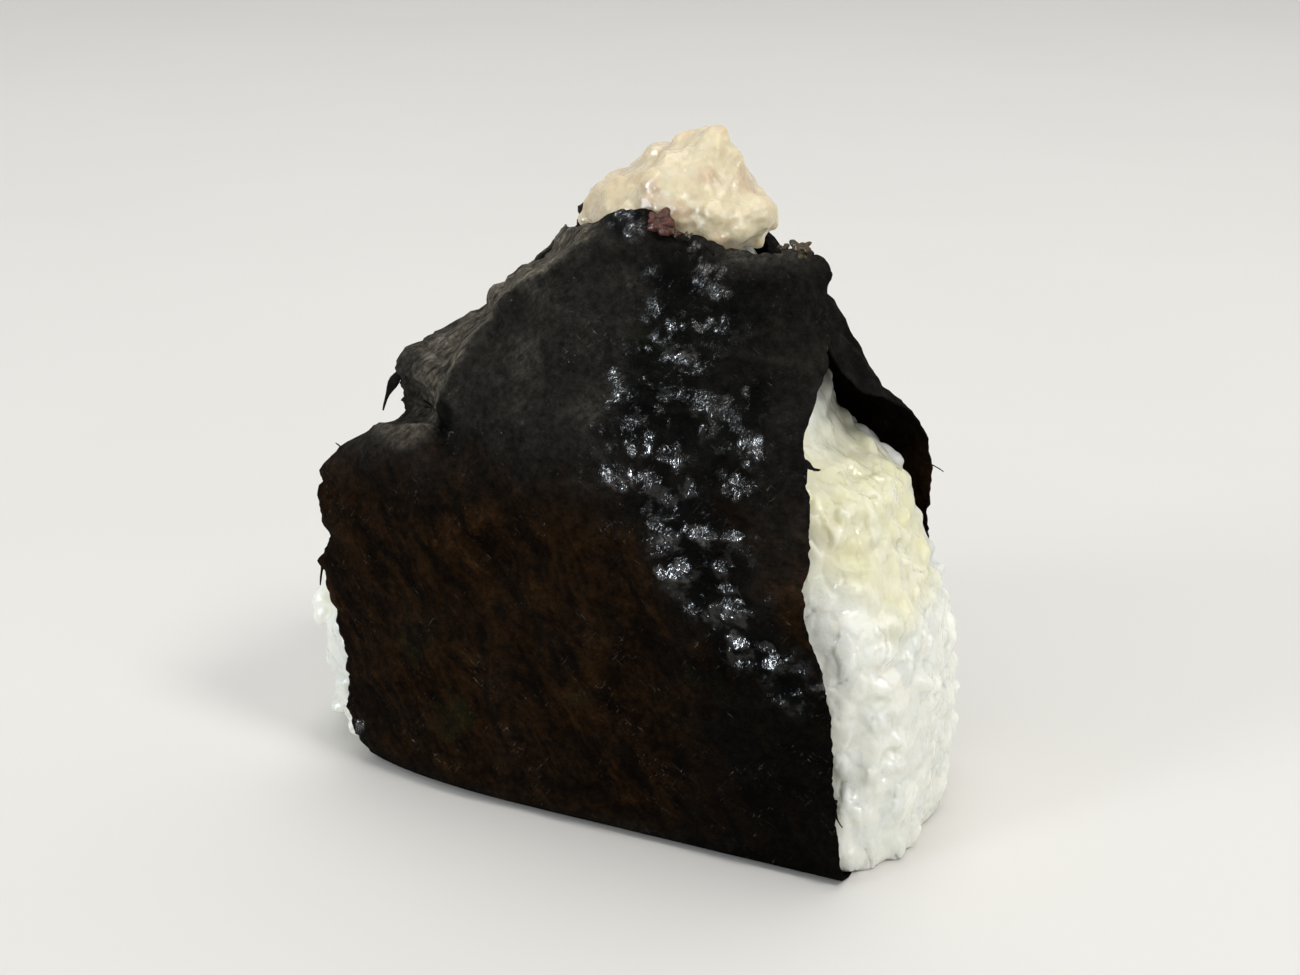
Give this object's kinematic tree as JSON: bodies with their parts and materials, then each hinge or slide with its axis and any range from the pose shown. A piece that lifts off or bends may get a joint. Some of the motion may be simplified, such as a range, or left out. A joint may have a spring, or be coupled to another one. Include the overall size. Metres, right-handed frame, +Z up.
{
  "type": "onigiri rice ball",
  "caption": "Large triangular onigiri of white rice, wrapped front, base and back in one nori sheet, with tuna mayonnaise heaped on its top.",
  "frame": {"origin": "centre of the object's box on the surface it stands on, under the middle of the rice", "axes": "+X along the front face to the side where more rice shows, -Y out of the front face, +Z up"},
  "size_m": [0.0992, 0.0471, 0.0972],
  "materials": {
    "rice": "satin",
    "nori": "satin",
    "filling": "gloss"
  },
  "bodies": {
    "root": {"rice_body": "rice", "nori_sheet": "nori", "tuna_filling": "filling"}
  },
  "joints": []
}
